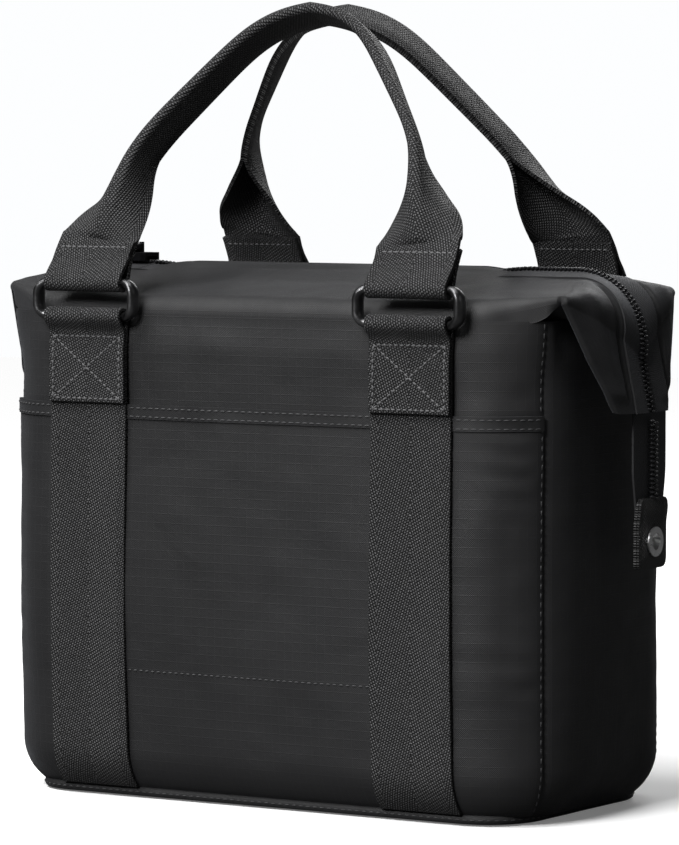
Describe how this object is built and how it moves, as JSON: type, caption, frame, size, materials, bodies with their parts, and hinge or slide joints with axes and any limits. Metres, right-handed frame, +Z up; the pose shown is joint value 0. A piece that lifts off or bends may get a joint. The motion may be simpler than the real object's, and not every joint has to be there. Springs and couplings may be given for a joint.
{
  "type": "insulated cooler bag",
  "caption": "Soft insulated tote with a zip mouth, folded side flaps, a front pocket and arched webbing handles hung from flat metal rings.",
  "frame": {"origin": "on the ground under the middle of the bag", "axes": "+X to the right along the mouth, +Y to the back, +Z up; the pocket is at the front, toward -Y"},
  "size_m": [0.307, 0.1502, 0.3335],
  "materials": {
    "shell_cloth": "closely woven nylon with a soft sheen",
    "hem_cloth": "doubled woven cloth",
    "foam": "closed-cell foam, matte",
    "lining": "silver film, soft gloss",
    "zip_tape": "woven zip tape",
    "zip_teeth": "black coil",
    "webbing": "black twill webbing",
    "ring_metal": "gunmetal, satin",
    "eyelet_metal": "polished nickel",
    "slider_metal": "black paint, satin"
  },
  "bodies": {
    "bag": {"front_panel": "shell_cloth", "back_panel": "shell_cloth", "side_panel_left": "shell_cloth", "side_panel_right": "shell_cloth", "base_panel": "shell_cloth", "base_binding": "hem_cloth", "front_foam": "foam", "back_foam": "foam", "side_foam_left": "foam", "side_foam_right": "foam", "base_foam": "foam", "liner": "lining", "pocket_panel": "shell_cloth", "pocket_hem": "hem_cloth", "roof_end_left": "shell_cloth", "roof_end_right": "shell_cloth", "zip_end_tape_left": "zip_tape", "zip_end_tape_right": "zip_tape", "zip_end_teeth_left": "zip_teeth", "zip_end_teeth_right": "zip_teeth", "strap_front_left": "webbing", "strap_front_right": "webbing", "strap_back_left": "webbing", "strap_back_right": "webbing"},
    "mouth_front": {"mouth_skin_front": "shell_cloth", "mouth_foam_front": "foam", "mouth_lining_front": "lining", "zip_tape_front": "zip_tape", "zip_teeth_front": "zip_teeth"},
    "mouth_back": {"mouth_skin_back": "shell_cloth", "mouth_foam_back": "foam", "mouth_lining_back": "lining", "zip_tape_back": "zip_tape", "zip_teeth_back": "zip_teeth"},
    "side_flap_left": {"ear_skin_left": "shell_cloth", "ear_lining_left": "shell_cloth", "ear_tape_left": "zip_tape", "ear_teeth_left": "zip_teeth"},
    "zip_tail_left": {"tail_tape_left": "zip_tape", "tail_teeth_left": "zip_teeth", "end_tab_left": "webbing", "eyelet_left": "eyelet_metal"},
    "side_flap_right": {"ear_skin_right": "shell_cloth", "ear_lining_right": "shell_cloth", "ear_tape_right": "zip_tape", "ear_teeth_right": "zip_teeth"},
    "zip_tail_right": {"tail_tape_right": "zip_tape", "tail_teeth_right": "zip_teeth", "end_tab_right": "webbing", "eyelet_right": "eyelet_metal"},
    "front_left_ring": {"ring_front_left": "ring_metal"},
    "front_right_ring": {"ring_front_right": "ring_metal"},
    "front_grip": {"handle_front": "webbing"},
    "back_left_ring": {"ring_back_left": "ring_metal"},
    "back_right_ring": {"ring_back_right": "ring_metal"},
    "back_grip": {"handle_back": "webbing"},
    "slider": {"zip_slider": "slider_metal"},
    "puller": {"zip_puller": "slider_metal"}
  },
  "joints": [
    {"name": "mouth_front_fold", "type": "hinge", "parent": "bag", "child": "mouth_front", "pos_m": [0, -0.057, 0.204], "axis": [1, 0, 0], "range_deg": [0, 45]},
    {"name": "mouth_back_fold", "type": "hinge", "parent": "bag", "child": "mouth_back", "pos_m": [0, 0.057, 0.204], "axis": [-1, 0, 0], "range_deg": [0, 45]},
    {"name": "side_flap_left_fold", "type": "hinge", "parent": "bag", "child": "side_flap_left", "pos_m": [-0.13, 0, 0.2126], "axis": [0, 1, 0], "range_deg": [0, 60]},
    {"name": "zip_tail_left_swing", "type": "hinge", "parent": "side_flap_left", "child": "zip_tail_left", "pos_m": [-0.15057, 0, 0.16534], "axis": [0, 1, 0], "range_deg": [-12, 75]},
    {"name": "side_flap_right_fold", "type": "hinge", "parent": "bag", "child": "side_flap_right", "pos_m": [0.13, 0, 0.2126], "axis": [0, -1, 0], "range_deg": [0, 60]},
    {"name": "zip_tail_right_swing", "type": "hinge", "parent": "side_flap_right", "child": "zip_tail_right", "pos_m": [0.15057, 0, 0.16534], "axis": [0, -1, 0], "range_deg": [-12, 75]},
    {"name": "front_left_ring_turn", "type": "hinge", "parent": "bag", "child": "front_left_ring", "pos_m": [0, -0.0712, 0.2025], "axis": [1, 0, 0], "range_deg": [0, 90]},
    {"name": "front_right_ring_turn", "type": "hinge", "parent": "bag", "child": "front_right_ring", "pos_m": [0, -0.0712, 0.2025], "axis": [1, 0, 0], "range_deg": [0, 90]},
    {"name": "front_grip_swing", "type": "hinge", "parent": "front_left_ring", "child": "front_grip", "pos_m": [0, -0.0712, 0.2165], "axis": [1, 0, 0], "range_deg": [0, 115]},
    {"name": "back_left_ring_turn", "type": "hinge", "parent": "bag", "child": "back_left_ring", "pos_m": [0, 0.0712, 0.2025], "axis": [-1, 0, 0], "range_deg": [0, 90]},
    {"name": "back_right_ring_turn", "type": "hinge", "parent": "bag", "child": "back_right_ring", "pos_m": [0, 0.0712, 0.2025], "axis": [-1, 0, 0], "range_deg": [0, 90]},
    {"name": "back_grip_swing", "type": "hinge", "parent": "back_left_ring", "child": "back_grip", "pos_m": [0, 0.0712, 0.2165], "axis": [-1, 0, 0], "range_deg": [0, 115]},
    {"name": "slider_slide", "type": "slide", "parent": "bag", "child": "slider", "axis": [1, 0, 0], "range_m": [0, 0.206]},
    {"name": "puller_flip", "type": "hinge", "parent": "slider", "child": "puller", "pos_m": [-0.103, 0, 0.2296], "axis": [0, 1, 0], "range_deg": [0, 180]}
  ],
  "couplings": [
    {"joint": "front_right_ring_turn", "follows": "front_left_ring_turn", "ratio": 1},
    {"joint": "back_right_ring_turn", "follows": "back_left_ring_turn", "ratio": 1}
  ]
}
